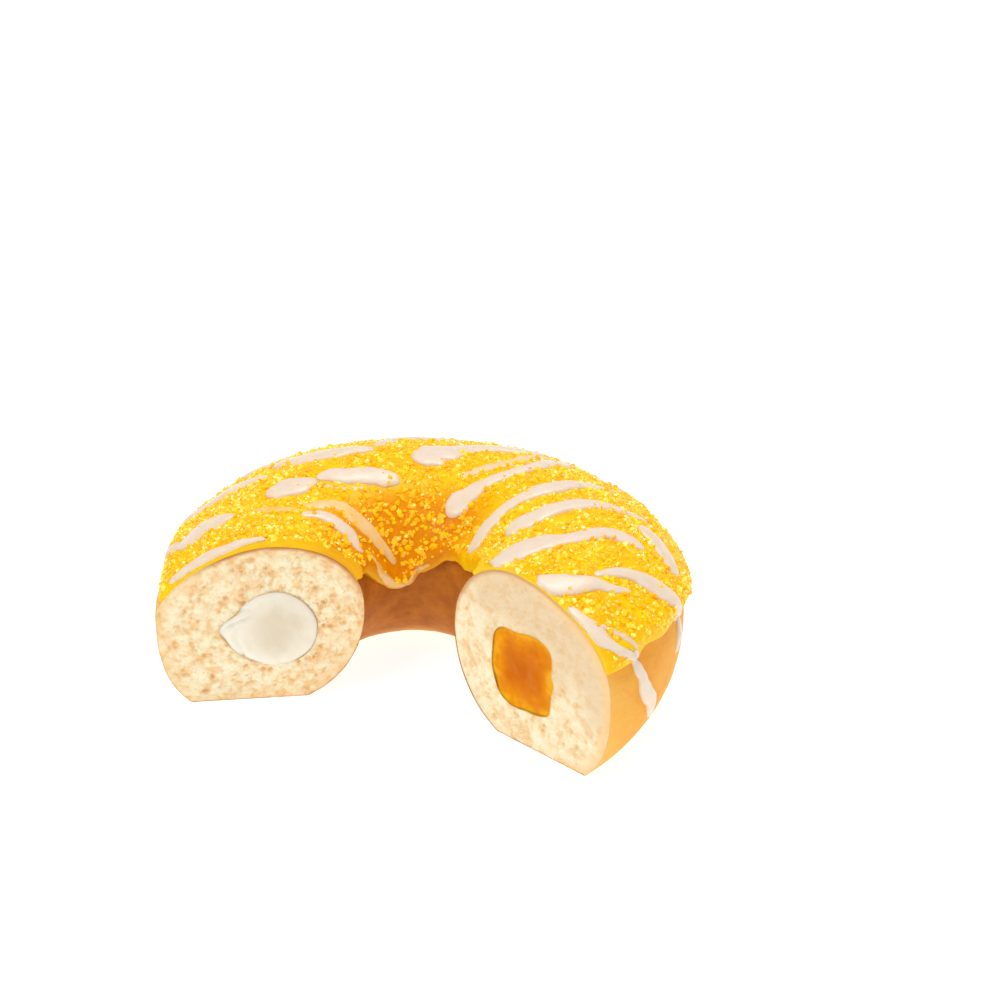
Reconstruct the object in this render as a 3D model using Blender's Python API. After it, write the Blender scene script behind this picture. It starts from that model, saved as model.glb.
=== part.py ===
"""A cut ring doughnut: fried dough, mango icing with poured white strands and
sugar grains, and two fillings that show at the two cuts, cheesecake cream at
one and mango at the other. Metres, +Z up. The ring lies flat, its opening
faces -Y, and the origin is the middle of its bounding box, on the table.

Places on the ring are given by a bearing, the angle round the ring's axis
from +X, and a roll, the angle round the tube: 0 points away from the ring's
axis, 90 up, 180 into the hole and 270 down. All angles are in degrees.
"""

import math
import random

import bmesh
import bpy
import numpy as np
from mathutils import Euler, Matrix

# The ring's axis in plan, placed so that the cut piece is centred on the origin
AXIS_X = -0.0008
AXIS_Y = -0.0127

# The two cuts, as bearings: the ring is whole between them, round the back
RIGHT_CUT = -25.2
LEFT_CUT = 205.2

# The tube's heart line, and how far the dough reaches from it: right end, left end
HEART_RADIUS = 0.0245
HEART_HEIGHT = 0.0168
OUTWARD_REACH = (0.0204, 0.0193)
INWARD_REACH = (0.0154, 0.0160)
UPWARD_REACH = (0.0151, 0.0126)
# The underside is fried flat, so the lower quarters, of the outer side and of the
# hole side, reach below the table and are cut off level with it
OUTER_DOWNWARD_REACH = 0.0204
HOLE_DOWNWARD_REACH = 0.0176
# Superellipse exponents of the tube's four quarters: 2 is an ellipse, more is squarer
SHOULDER_EXPONENT = (1.95, 1.65)
HOLE_TOP_EXPONENT = (2.05, 2.25)
HOLE_FOOT_EXPONENT = 2.0
FOOT_EXPONENT = 2.6
# Rise and fall of the crust: three swells round the ring and a smaller ripple
SWELL_HEIGHT = 0.00035
SWELLS = 3.0
SWELL_START = 40.0
SWELL_ROLL = 34.0
RIPPLE_HEIGHT = 0.0002
RIPPLES = 5.0

# Clearance between pieces that touch
GAP = 0.0003

# The fillings: a round cream with a lip squeezed towards the crust, and a leaning
# block of mango. Each runs in from its own cut, and they meet at the back.
FILLING_HEIGHT = 0.0137
CREAM_HEART_RADIUS = 0.0241
CREAM_RADIUS = 0.0071
CREAM_LIP = 0.0019
CREAM_LIP_ROLL = 25.0
CREAM_BULGE = 0.0007
# The bulge's rings: share of its height, share of the full outline
CREAM_DOME = ((0.7, 0.9), (1.0, 0.6))
MANGO_HEART_RADIUS = 0.0250
MANGO_HALF_WIDTH = 0.0066
MANGO_HALF_HEIGHT = 0.0071
MANGO_EXPONENT = 3.2
MANGO_LEAN = 0.11
MANGO_SINK = 0.0004
FILLINGS_MEET = 90.0
MEETING_LENGTH = 40.0

# Icing: thickness, the bead that gathers near its edges, and where those edges lie
ICING_THICKNESS = 0.0012
ICING_RIM = 0.00055
RIM_ROLL = 6.0
BEAD_HEIGHT = 0.0006
BEAD_FROM_EDGE = 9.0
BEAD_ROLL = 6.0
OUTER_EDGE_ROLL = 11.0
INNER_EDGE_ROLL = 163.0
# Runs of the icing past its edge: bearing, degrees of roll, width in degrees
OUTER_RUNS = (
    (-25.0, -4.0, 9.0),
    (21.0, 4.0, 9.0),
    (46.0, -5.0, 8.0),
    (70.0, 6.0, 8.0),
    (97.0, -4.0, 9.0),
    (118.0, 7.0, 7.0),
    (143.0, -5.0, 8.0),
    (168.0, 5.0, 10.0),
    (190.0, -3.0, 8.0),
)
INNER_RUNS = (
    (-25.0, -30.0, 32.0),
    (101.0, 3.0, 14.0),
    (134.0, 20.0, 27.0),
    (186.0, -4.0, 12.0),
    (205.0, -3.0, 10.0),
)

# Poured strands, each through its stops: bearing, roll, width in millimetres.
# They run one way across the ring, thick where each was started and thin where it ends.
STRANDS = (
    ((109, 101, 2.6), (103, 90, 5.6), (88, 68, 3.4), (76, 50, 2.8), (66, 26, 1.8)),
    ((80, 139, 2.8), (77, 125, 5.2), (68, 104, 2.8), (62, 70, 2.4), (57, 26, 1.8)),
    ((27, 149, 2.4), (40, 130, 3.0), (44, 102, 3.2), (46, 66, 2.8), (44, 30, 1.8)),
    ((12, 122, 2.2), (22, 108, 3.8), (30, 80, 3.2), (32, 48, 2.2), (32, 22, 1.8)),
    ((-29, 116, 2.4), (-13, 107, 4.4), (2, 86, 3.8), (13, 62, 3.0), (13, 40, 1.8)),
    ((-29, 92, 2.6), (-23, 67, 4.8), (-14, 57, 3.4), (-8, 45, 1.4)),
    ((-9, 59, 1.6), (-3, 48, 2.6), (2, 30, 3.6), (6, 11, 2.0)),
    ((-27, 58, 1.8), (-23.8, 38, 3.0), (-21, 22, 2.0), (-16, 11, 1.6)),
    ((-17, 15, 1.6), (-15, 3, 2.0), (-12, -14, 2.4), (-9.5, -28, 1.6)),
    ((26, 44, 1.8), (19, 33, 2.6), (12, 22, 1.8)),
    ((154, 44, 2.4), (148, 60, 4.2), (136, 72, 3.4), (124, 80, 2.0)),
    ((155, 91, 1.6), (145, 99, 3.6), (130, 110, 3.8), (116, 121, 1.8)),
    ((170, 71, 2.6), (165, 84, 5.0), (154, 95, 1.8)),
    ((191, 31, 2.2), (187, 44, 3.8), (184, 64, 2.2)),
    ((183, 109, 1.6), (176, 122, 2.4), (175, 136, 2.6), (184, 152, 1.6)),
    ((176, 106, 1.6), (160, 128, 2.2), (155, 150, 2.4), (147, 170, 2.6), (137, 177, 2.2)),
    ((204, 22, 2.2), (202.6, 42, 3.2), (203.4, 66, 2.2), (204, 86, 1.4)),
    ((123, 72, 1.8), (112, 60, 2.8), (98, 40, 2.8), (90, 18, 1.8)),
    ((157, 18, 2.0), (141, 30, 3.0), (124, 34, 3.2), (108, 24, 2.0)),
    ((177, 12, 1.8), (168, 33, 2.8), (159, 56, 2.0)),
    ((86, 38, 1.8), (80, 26, 2.6), (75, 12, 1.8)),
)
MILLIMETRE = 0.001
STRAND_RISE = 0.0009
STRAND_SINK = 0.0007
# Thickness at a strand's sides where it lies on bare dough
STRAND_SIDE = 0.00035
# A strand narrower than this is also lower
FULL_WIDTH = 0.0035
# Higher is blunter
TIP_BLUNTNESS = 7.0
TIP_SMALLEST = 0.17
HEADING_STEP = 0.02
STRAND_STEPS_PER_STOP = 2
STRAND_WIDTH_STEPS = 4

# Sugar grains, spread evenly between the strands
GRAIN_RADIUS = 0.0006
GRAIN_COUNT = 90
GRAIN_CLEAR_OF_STRANDS = 0.0004
GRAIN_TRIES = 40
POINTS_ALONG_STRAND = 25
GRAIN_EDGE_ROLL = 5.0
GRAIN_FROM_CUT = 1.0
SEED = 7

# Mesh steps
RING_STEPS = 36
TUBE_SIDES = 28
FILLING_STEPS = 14
FILLING_SIDES = 16
ICING_LENGTH_STEPS = 46
ICING_WIDTH_STEPS = 12

# Rows of the icing's mesh are drawn this much towards its edges
ROWS_TO_EDGES = 0.05
SHORTEST_EDGE = 0.00003

# How far cutters and uncut ends run past the cuts, in degrees
PAST_CUT = 3.0


def blend(pair, share):
    """From the right end's value at share 0 to the left end's at share 1."""
    return pair[0] + (pair[1] - pair[0]) * share


def ring_point(bearing, radius, height):
    turn = np.radians(bearing)
    return np.stack(
        [AXIS_X + radius * np.cos(turn), AXIS_Y + radius * np.sin(turn), height], axis=-1
    )


def reach(bearing, roll):
    """Distance from the heart line to the dough's skin."""
    share = np.clip((bearing - RIGHT_CUT) / (LEFT_CUT - RIGHT_CUT), 0.0, 1.0)
    angle = np.radians(roll)
    out, up = np.cos(angle), np.sin(angle)
    across = np.where(out > 0, blend(OUTWARD_REACH, share), blend(INWARD_REACH, share))
    deep = np.where(out > 0, OUTER_DOWNWARD_REACH, HOLE_DOWNWARD_REACH)
    tall = np.where(up > 0, blend(UPWARD_REACH, share), deep)
    above = np.where(out > 0, blend(SHOULDER_EXPONENT, share), blend(HOLE_TOP_EXPONENT, share))
    below = np.where(out > 0, FOOT_EXPONENT, HOLE_FOOT_EXPONENT)
    power = np.where(up > 0, above, below)
    size = np.abs(out / across) ** power + np.abs(up / tall) ** power
    swell = np.sin(np.radians(SWELLS * bearing + SWELL_START)) * np.sin(np.radians(roll + SWELL_ROLL))
    ripple = np.sin(np.radians(RIPPLES * bearing + 2.0 * roll))
    return size ** (-1.0 / power) + SWELL_HEIGHT * swell + RIPPLE_HEIGHT * ripple


def on_skin(bearing, roll, lift):
    """Points at a lift above the dough's skin, and never below the table."""
    bearing, roll, lift = np.broadcast_arrays(bearing, roll, lift)
    far = reach(bearing, roll) + lift
    radius = HEART_RADIUS + far * np.cos(np.radians(roll))
    height = np.maximum(HEART_HEIGHT + far * np.sin(np.radians(roll)), 0.0)
    return ring_point(bearing, radius, height)


def skin_normal(bearing, roll):
    onward = on_skin(bearing + 1.0, roll, 0.0) - on_skin(bearing - 1.0, roll, 0.0)
    across = on_skin(bearing, roll + 1.0, 0.0) - on_skin(bearing, roll - 1.0, 0.0)
    normal = np.cross(onward, across)
    return normal / np.linalg.norm(normal, axis=-1, keepdims=True)


def bearing_and_roll(points):
    """The place on the ring of each point."""
    east, north = points[:, 0] - AXIS_X, points[:, 1] - AXIS_Y
    out = np.hypot(east, north) - HEART_RADIUS
    bearing = np.degrees(np.arctan2(north, east))
    roll = np.degrees(np.arctan2(points[:, 2] - HEART_HEIGHT, out))
    return (bearing + 90.0) % 360.0 - 90.0, (roll + 90.0) % 360.0 - 90.0


def icing_edge(bearing, base, runs, sign):
    run = sum(drop * np.exp(-(((bearing - middle) / width) ** 2)) for middle, drop, width in runs)
    return base + sign * run


def outer_edge(bearing):
    return icing_edge(bearing, OUTER_EDGE_ROLL, OUTER_RUNS, -1.0)


def inner_edge(bearing):
    return icing_edge(bearing, INNER_EDGE_ROLL, INNER_RUNS, 1.0)


def icing_lift(bearing, roll):
    """Top of the icing above the dough: level, a bead near each edge, then a thin rim."""
    inside = np.minimum(roll - outer_edge(bearing), inner_edge(bearing) - roll)
    bead = BEAD_HEIGHT * np.exp(-(((inside - BEAD_FROM_EDGE) / BEAD_ROLL) ** 2))
    full = np.sqrt(np.clip(inside / RIM_ROLL, 0.0, 1.0))
    return GAP + ICING_RIM + (ICING_THICKNESS + bead - ICING_RIM) * full


def new_material(name, colour, roughness):
    material = bpy.data.materials.new(name)
    material.use_nodes = True
    shader = material.node_tree.nodes["Principled BSDF"]
    shader.inputs["Base Color"].default_value = (*colour, 1.0)
    shader.inputs["Roughness"].default_value = roughness
    shader.inputs["Metallic"].default_value = 0.0
    return material


def new_object(name, mesh_data, collection, material=None):
    bmesh.ops.recalc_face_normals(mesh_data, faces=mesh_data.faces[:])
    mesh = bpy.data.meshes.new(name)
    mesh_data.to_mesh(mesh)
    mesh_data.free()
    if material:
        mesh.materials.append(material)
    obj = bpy.data.objects.new(name, mesh)
    collection.objects.link(obj)
    return obj


def new_cutter(name, mesh_data, collection):
    cutter = new_object(name, mesh_data, collection)
    cutter.hide_render = True
    cutter.display_type = "WIRE"
    return cutter


def add_boolean(obj, name, operation, solver, cutter):
    modifier = obj.modifiers.new(name, "BOOLEAN")
    modifier.operation = operation
    modifier.solver = solver
    if isinstance(cutter, bpy.types.Collection):
        modifier.operand_type = "COLLECTION"
        modifier.collection = cutter
    else:
        modifier.object = cutter


def move_vertices(mesh_data, place):
    """Moves all vertices to place(coordinates), both as arrays."""
    verts = list(mesh_data.verts)
    moved = place(np.array([vert.co for vert in verts]))
    for vert, point in zip(verts, moved):
        vert.co = point


def spun_tube(steps, sides, place):
    """A circle spun half round the ring's axis, then shaped: place takes each
    vertex's share of the way and its roll."""
    mesh_data = bmesh.new()
    stand_up = Matrix.Rotation(math.pi / 2, 4, "X")
    bmesh.ops.create_circle(
        mesh_data,
        cap_ends=True,
        segments=sides,
        radius=HEART_RADIUS / 2,
        matrix=Matrix.Translation((HEART_RADIUS, 0.0, 0.0)) @ stand_up,
    )
    bmesh.ops.spin(
        mesh_data,
        geom=mesh_data.verts[:] + mesh_data.edges[:] + mesh_data.faces[:],
        cent=(0.0, 0.0, 0.0),
        axis=(0.0, 0.0, 1.0),
        angle=math.pi,
        steps=steps,
    )

    def place_points(points):
        turned = np.abs(np.arctan2(points[:, 1], points[:, 0]))
        out = np.hypot(points[:, 0], points[:, 1]) - HEART_RADIUS
        return place(turned / math.pi, np.degrees(np.arctan2(points[:, 2], out)))

    move_vertices(mesh_data, place_points)
    return mesh_data


def wrapped_slab(length_steps, width_steps, place):
    """A box cut into a grid, then shaped: place takes each vertex's share
    along, across and through the slab."""
    mesh_data = bmesh.new()
    bmesh.ops.create_cube(mesh_data, size=1.0, matrix=Matrix.Translation((0.5, 0.5, 0.5)))
    for axis, steps in ((0, length_steps), (1, width_steps)):
        running = [
            edge
            for edge in mesh_data.edges
            if abs(edge.verts[0].co[axis] - edge.verts[1].co[axis]) > 0.5
        ]
        bmesh.ops.subdivide_edges(mesh_data, edges=running, cuts=steps - 1, use_grid_fill=True)
    move_vertices(mesh_data, lambda points: place(points[:, 0], points[:, 1], points[:, 2]))
    return mesh_data


def filling_place(bearing, roll, spare, size=1.0):
    """A point on the filling's side, or that much outside it: mango in its own
    half, cream in the other, with a short change between."""
    mango = np.clip(0.5 - (bearing - FILLINGS_MEET) / MEETING_LENGTH, 0.0, 1.0)
    angle = np.radians(roll)
    block = np.abs(np.cos(angle) / MANGO_HALF_WIDTH) ** MANGO_EXPONENT
    block = block + np.abs(np.sin(angle) / MANGO_HALF_HEIGHT) ** MANGO_EXPONENT
    away = (roll + 180.0) % 360.0 - 180.0
    cream = CREAM_RADIUS + CREAM_LIP * np.exp(-((away / CREAM_LIP_ROLL) ** 2))
    far = mango * block ** (-1.0 / MANGO_EXPONENT) + (1.0 - mango) * cream
    far = (far + spare) * size
    radius = CREAM_HEART_RADIUS + (MANGO_HEART_RADIUS - CREAM_HEART_RADIUS) * mango
    radius = radius + far * (np.cos(angle) - MANGO_LEAN * mango * np.sin(angle))
    return ring_point(bearing, radius, FILLING_HEIGHT + far * np.sin(angle))


def along_heart(distance):
    """Degrees of bearing for a length along the fillings."""
    return math.degrees(distance / CREAM_HEART_RADIUS)


def build_cream(material, collection):
    """From the meeting place to the left cut, where it stands proud as a low dome."""
    start = FILLINGS_MEET + along_heart(GAP / 2)
    bulge = along_heart(CREAM_BULGE)
    straight_rings = FILLING_STEPS + 1 - len(CREAM_DOME)
    rings = [(bearing, 1.0) for bearing in np.linspace(start, LEFT_CUT, straight_rings)]
    rings += [(LEFT_CUT + bulge * rise, size) for rise, size in CREAM_DOME]
    bearings, sizes = np.array(rings).T
    shares = np.linspace(0.0, 1.0, len(rings))

    def place(share, roll):
        return filling_place(
            np.interp(share, shares, bearings), roll, 0.0, np.interp(share, shares, sizes)
        )

    tube = spun_tube(FILLING_STEPS, FILLING_SIDES, place)
    return new_object("cream_filling", tube, collection, material)


def build_mango(material, collection):
    """From just inside the right cut to the meeting place."""
    start = RIGHT_CUT + along_heart(MANGO_SINK)
    end = FILLINGS_MEET - along_heart(GAP / 2)

    def place(share, roll):
        return filling_place(start + (end - start) * share, roll, 0.0)

    tube = spun_tube(FILLING_STEPS, FILLING_SIDES, place)
    return new_object("mango_filling", tube, collection, material)


def build_channel(collection):
    """The channel that both fillings lie in, as a cutter that runs past both cuts."""
    start, end = RIGHT_CUT - PAST_CUT, LEFT_CUT + PAST_CUT

    def place(share, roll):
        return filling_place(start + (end - start) * share, roll, GAP)

    return new_cutter("channel", spun_tube(RING_STEPS, FILLING_SIDES, place), collection)


def build_knife(collection):
    """The wedge of the ring that was cut away."""
    mesh_data = bmesh.new()
    corners = [(0.0, 0.0)]
    for bearing in (LEFT_CUT, 270.0, 360.0 + RIGHT_CUT):
        corners.append((3.0 * HEART_RADIUS, bearing))
    verts = [
        mesh_data.verts.new(ring_point(bearing, radius, -HEART_HEIGHT))
        for radius, bearing in corners
    ]
    floor = mesh_data.faces.new(verts)
    raised = bmesh.ops.extrude_face_region(mesh_data, geom=[floor])
    bmesh.ops.translate(
        mesh_data,
        vec=(0.0, 0.0, 5.0 * HEART_HEIGHT),
        verts=[item for item in raised["geom"] if isinstance(item, bmesh.types.BMVert)],
    )
    return new_cutter("knife", mesh_data, collection)


def build_dough(material, collection, channel):
    def place(share, roll):
        return on_skin(RIGHT_CUT + (LEFT_CUT - RIGHT_CUT) * share, roll, 0.0)

    dough = new_object("dough", spun_tube(RING_STEPS, TUBE_SIDES, place), collection, material)
    add_boolean(dough, "channel", "DIFFERENCE", "EXACT", channel)
    return dough


def icing_slab():
    """The sheet of icing, wrapped over the dough and running past both cuts."""
    start, end = RIGHT_CUT - PAST_CUT, LEFT_CUT + PAST_CUT

    def place(along, across, through):
        bearing = start + (end - start) * along
        low, high = outer_edge(bearing), inner_edge(bearing)
        across = across - ROWS_TO_EDGES * np.sin(2.0 * math.pi * across)
        roll = low + (high - low) * across
        top = icing_lift(bearing, roll) - GAP
        return on_skin(bearing, roll, GAP + top * through)

    return wrapped_slab(ICING_LENGTH_STEPS, ICING_WIDTH_STEPS, place)


def through_stops(stops, share):
    """A smooth curve through the stops, at shares of the way from 0 to 1."""
    stops = np.array(stops, float)
    padded = np.vstack([2 * stops[0] - stops[1], stops, 2 * stops[-1] - stops[-2]])
    place = np.clip(share, 0.0, 1.0) * (len(stops) - 1)
    first = np.minimum(place.astype(int), len(stops) - 2)
    step = (place - first)[:, None]
    before, here, there, after = (padded[first + offset] for offset in range(4))
    bend = 2 * before - 5 * here + 4 * there - after
    twist = 3 * here - before - 3 * there + after
    return 0.5 * (2 * here + (there - before) * step + bend * step**2 + twist * step**3)


def strand_slab(stops):
    """A poured strand: domed on top, its underside sunk in the icing."""

    def place(along, across, through):
        bearing, roll, width = through_stops(stops, along).T
        before = through_stops(stops, along - HEADING_STEP).T
        after = through_stops(stops, along + HEADING_STEP).T
        heading = on_skin(after[0], after[1], 0.0) - on_skin(before[0], before[1], 0.0)
        side = np.cross(skin_normal(bearing, roll), heading)
        side /= np.linalg.norm(side, axis=-1, keepdims=True)
        width = width * MILLIMETRE
        tip = np.sqrt(1.0 - np.abs(2.0 * along - 1.0) ** TIP_BLUNTNESS)
        tip = np.maximum(tip, TIP_SMALLEST)
        offset = (across - 0.5) * width * tip
        middle = on_skin(bearing, roll, ICING_THICKNESS)
        bearing, roll = bearing_and_roll(middle + side * offset[:, None])
        ground = np.where(
            roll < outer_edge(bearing), GAP + STRAND_SIDE, icing_lift(bearing, roll)
        )
        dome = 1.0 - (2.0 * across - 1.0) ** 2
        rise = STRAND_RISE * dome * tip * np.clip(width / FULL_WIDTH, 0.5, 1.0)
        bottom = np.maximum(ground - STRAND_SINK, GAP)
        return on_skin(bearing, roll, bottom + (ground + rise - bottom) * through)

    length_steps = STRAND_STEPS_PER_STOP * (len(stops) - 1)
    return wrapped_slab(length_steps, STRAND_WIDTH_STEPS, place)


def strand_middles():
    """Points along every strand, with half its width there."""
    share = np.linspace(0.0, 1.0, POINTS_ALONG_STRAND)
    points, halves = [], []
    for stops in STRANDS:
        bearing, roll, width = through_stops(stops, share).T
        points.append(on_skin(bearing, roll, ICING_THICKNESS))
        halves.append(width * MILLIMETRE / 2)
    return np.vstack(points), np.concatenate(halves)


def grain_places():
    """Bearings and rolls for the grains: of many random tries for each, the one
    farthest from the grains already there and clear of the strands."""
    draw = random.Random(SEED)
    strand_points, strand_halves = strand_middles()
    chosen, chosen_points = [], []
    while len(chosen) < GRAIN_COUNT:
        tries = []
        for _ in range(GRAIN_TRIES):
            bearing = draw.uniform(RIGHT_CUT + GRAIN_FROM_CUT, LEFT_CUT - GRAIN_FROM_CUT)
            low = float(outer_edge(bearing)) + GRAIN_EDGE_ROLL
            high = float(inner_edge(bearing)) - GRAIN_EDGE_ROLL
            roll = draw.uniform(low, high)
            point = on_skin(bearing, roll, ICING_THICKNESS)
            room = np.linalg.norm(strand_points - point, axis=1) - strand_halves
            if room.min() < GRAIN_RADIUS + GRAIN_CLEAR_OF_STRANDS:
                continue
            apart = min((float(np.linalg.norm(point - other)) for other in chosen_points), default=1)
            tries.append((apart, bearing, roll, point))
        if tries:
            _, bearing, roll, point = max(tries, key=lambda item: item[0])
            chosen.append((bearing, roll))
            chosen_points.append(point)
    return chosen


def grain(bearing, roll, turn):
    """A grain half sunk in the icing."""
    mesh_data = bmesh.new()
    where = on_skin(bearing, roll, icing_lift(bearing, roll))
    bmesh.ops.create_icosphere(
        mesh_data,
        subdivisions=1,
        radius=GRAIN_RADIUS,
        matrix=Matrix.Translation(where) @ Euler((turn, 2.0 * turn, 0.0)).to_matrix().to_4x4(),
    )
    return mesh_data


def apply_modifiers(obj):
    """Replaces the object's mesh by the one its modifiers make."""
    evaluated = obj.evaluated_get(bpy.context.evaluated_depsgraph_get())
    mesh = bpy.data.meshes.new_from_object(evaluated)
    obj.modifiers.clear()
    obj.data = mesh


def keep_largest_shell(obj):
    """Merges the shortest edges, then drops loose scraps and the walls of sealed hollows."""
    mesh_data = bmesh.new()
    mesh_data.from_mesh(obj.data)
    bmesh.ops.remove_doubles(mesh_data, verts=mesh_data.verts[:], dist=SHORTEST_EDGE)
    bmesh.ops.dissolve_degenerate(mesh_data, edges=mesh_data.edges[:], dist=SHORTEST_EDGE)
    bmesh.ops.triangulate(mesh_data, faces=mesh_data.faces[:])
    unseen = set(mesh_data.faces)
    shells = []
    while unseen:
        shell = [unseen.pop()]
        for face in shell:
            for other in (near for edge in face.edges for near in edge.link_faces):
                if other in unseen:
                    unseen.remove(other)
                    shell.append(other)
        shells.append(shell)
    shells.sort(key=len)
    for shell in shells[:-1]:
        bmesh.ops.delete(mesh_data, geom=shell, context="FACES")
    bare_edges = [edge for edge in mesh_data.edges if not edge.link_faces]
    bmesh.ops.delete(mesh_data, geom=bare_edges, context="EDGES")
    bare_points = [point for point in mesh_data.verts if not point.link_faces]
    bmesh.ops.delete(mesh_data, geom=bare_points, context="VERTS")
    mesh_data.to_mesh(obj.data)
    mesh_data.free()


def build_icing(material, collection, knife):
    """The icing with its strands and grains fused on, cut at both ends by the knife."""
    icing = new_object("icing", icing_slab(), collection, material)
    fused = bpy.data.collections.new("fused_to_icing")
    bpy.context.scene.collection.children.link(fused)
    for number, stops in enumerate(STRANDS):
        new_object(f"strand_{number}", strand_slab(stops), fused)
    for number, (bearing, roll) in enumerate(grain_places()):
        new_object(f"grain_{number}", grain(bearing, roll, float(number)), fused)
    add_boolean(icing, "fuse", "UNION", "MANIFOLD", fused)
    add_boolean(icing, "trim", "DIFFERENCE", "MANIFOLD", knife)
    apply_modifiers(icing)
    for obj in list(fused.objects):
        bpy.data.objects.remove(obj)
    bpy.data.collections.remove(fused)
    keep_largest_shell(icing)
    return icing


def build_doughnut():
    for obj in list(bpy.data.objects):
        bpy.data.objects.remove(obj)
    parts = bpy.data.collections.new("mango_cheesecake_doughnut")
    cutters = bpy.data.collections.new("cutters")
    bpy.context.scene.collection.children.link(parts)
    bpy.context.scene.collection.children.link(cutters)

    crumb = new_material("crumb_and_crust", (0.86, 0.60, 0.33), 0.75)
    glaze = new_material("mango_icing", (0.93, 0.47, 0.01), 0.22)
    cream = new_material("cheesecake_cream", (0.83, 0.76, 0.62), 0.45)
    mango = new_material("mango_filling", (0.78, 0.25, 0.004), 0.3)

    build_dough(crumb, parts, build_channel(cutters))
    build_icing(glaze, parts, build_knife(cutters))
    build_cream(cream, parts)
    build_mango(mango, parts)


build_doughnut()
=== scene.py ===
import math
import random

import bpy
import numpy as np
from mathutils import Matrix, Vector, noise


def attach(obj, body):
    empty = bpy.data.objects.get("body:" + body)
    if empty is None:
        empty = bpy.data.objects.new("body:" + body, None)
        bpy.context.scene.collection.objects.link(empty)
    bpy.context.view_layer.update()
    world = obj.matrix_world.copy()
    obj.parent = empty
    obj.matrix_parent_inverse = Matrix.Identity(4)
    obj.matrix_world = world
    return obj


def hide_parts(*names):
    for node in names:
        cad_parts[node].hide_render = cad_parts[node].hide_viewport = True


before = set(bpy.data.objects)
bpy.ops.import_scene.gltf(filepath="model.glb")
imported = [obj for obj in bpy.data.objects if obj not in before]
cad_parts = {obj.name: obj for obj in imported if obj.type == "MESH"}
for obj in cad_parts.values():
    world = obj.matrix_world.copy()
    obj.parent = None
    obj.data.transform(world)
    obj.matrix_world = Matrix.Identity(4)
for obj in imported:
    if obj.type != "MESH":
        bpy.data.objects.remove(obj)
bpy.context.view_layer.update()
mm = 0.001
print("frame loaded:", ", ".join(sorted(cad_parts)))


# The ring's shape. Places on it are a bearing round its axis and a roll round
# the tube, in degrees: roll 0 faces out, 90 up, 180 into the hole.
ring = {
    "axis": (-0.0008, -0.0127),
    "rightCut": -25.2,
    "leftCut": 205.2,
    "heartRadius": 0.0245,
    "heartHeight": 0.0168,
    "outward": (0.0204, 0.0193),  # right end, left end
    "inward": (0.0154, 0.0160),
    "upward": (0.0151, 0.0126),
    "outerDownward": 0.0204,
    "holeDownward": 0.0176,
    "shoulder": (1.95, 1.65),  # superellipse powers
    "holeTop": (2.05, 2.25),
    "holeFoot": 2.0,
    "foot": 2.6,
    "swell": 0.00035,
    "ripple": 0.0002,
}


def between(pair, share):
    return pair[0] + (pair[1] - pair[0]) * share


def smoothStep(low, high, value):
    share = np.clip((value - low) / (high - low), 0.0, 1.0)
    return share * share * (3.0 - 2.0 * share)


def ringPoint(bearing, radius, height):
    turn = np.radians(bearing)
    x = ring["axis"][0] + radius * np.cos(turn)
    y = ring["axis"][1] + radius * np.sin(turn)
    return np.stack(np.broadcast_arrays(x, y, height), axis=-1)


def reach(bearing, roll):
    share = np.clip((bearing - ring["rightCut"]) / (ring["leftCut"] - ring["rightCut"]), 0.0, 1.0)
    out, up = np.cos(np.radians(roll)), np.sin(np.radians(roll))
    across = np.where(out > 0, between(ring["outward"], share), between(ring["inward"], share))
    deep = np.where(out > 0, ring["outerDownward"], ring["holeDownward"])
    tall = np.where(up > 0, between(ring["upward"], share), deep)
    above = np.where(out > 0, between(ring["shoulder"], share), between(ring["holeTop"], share))
    below = np.where(out > 0, ring["foot"], ring["holeFoot"])
    power = np.where(up > 0, above, below)
    size = np.abs(out / across) ** power + np.abs(up / tall) ** power
    # slow swellings along the ring, and ripples that wind round it
    swell = np.sin(np.radians(3.0 * bearing + 40.0)) * np.sin(np.radians(roll + 34.0))
    ripple = np.sin(np.radians(5.0 * bearing + 2.0 * roll))
    return size ** (-1.0 / power) + ring["swell"] * swell + ring["ripple"] * ripple


def onSkin(bearing, roll, lift):
    far = reach(bearing, roll) + lift
    radius = ring["heartRadius"] + far * np.cos(np.radians(roll))
    height = np.maximum(ring["heartHeight"] + far * np.sin(np.radians(roll)), 0.0)
    return ringPoint(bearing, radius, height)


def fromCuts(bearing, radius):
    # the way along the ring to the nearer cut, in metres
    return np.radians(np.minimum(bearing - ring["rightCut"], ring["leftCut"] - bearing)) * radius


def skinNormal(bearing, roll):
    onward = onSkin(bearing + 1.0, roll, 0.0) - onSkin(bearing - 1.0, roll, 0.0)
    across = onSkin(bearing, roll + 1.0, 0.0) - onSkin(bearing, roll - 1.0, 0.0)
    normal = np.cross(onward, across)
    return normal / np.linalg.norm(normal, axis=-1, keepdims=True)


def placeOnRing(points):
    east, north = points[:, 0] - ring["axis"][0], points[:, 1] - ring["axis"][1]
    out = np.hypot(east, north) - ring["heartRadius"]
    bearing = np.degrees(np.arctan2(north, east))
    roll = np.degrees(np.arctan2(points[:, 2] - ring["heartHeight"], out))
    return (bearing + 90.0) % 360.0 - 90.0, (roll + 90.0) % 360.0 - 90.0


# Small tools for the meshes
def readPoints(piece):
    flat = np.zeros(len(piece.data.vertices) * 3)
    piece.data.vertices.foreach_get("co", flat)
    return flat.reshape(-1, 3)


def writePoints(piece, points):
    piece.data.vertices.foreach_set("co", np.ascontiguousarray(points, float).ravel())
    piece.data.update()


def writeValue(piece, name, values):
    layer = piece.data.attributes.new(name, "FLOAT", "POINT")
    layer.data.foreach_set("value", np.ascontiguousarray(values, np.float32))


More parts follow.
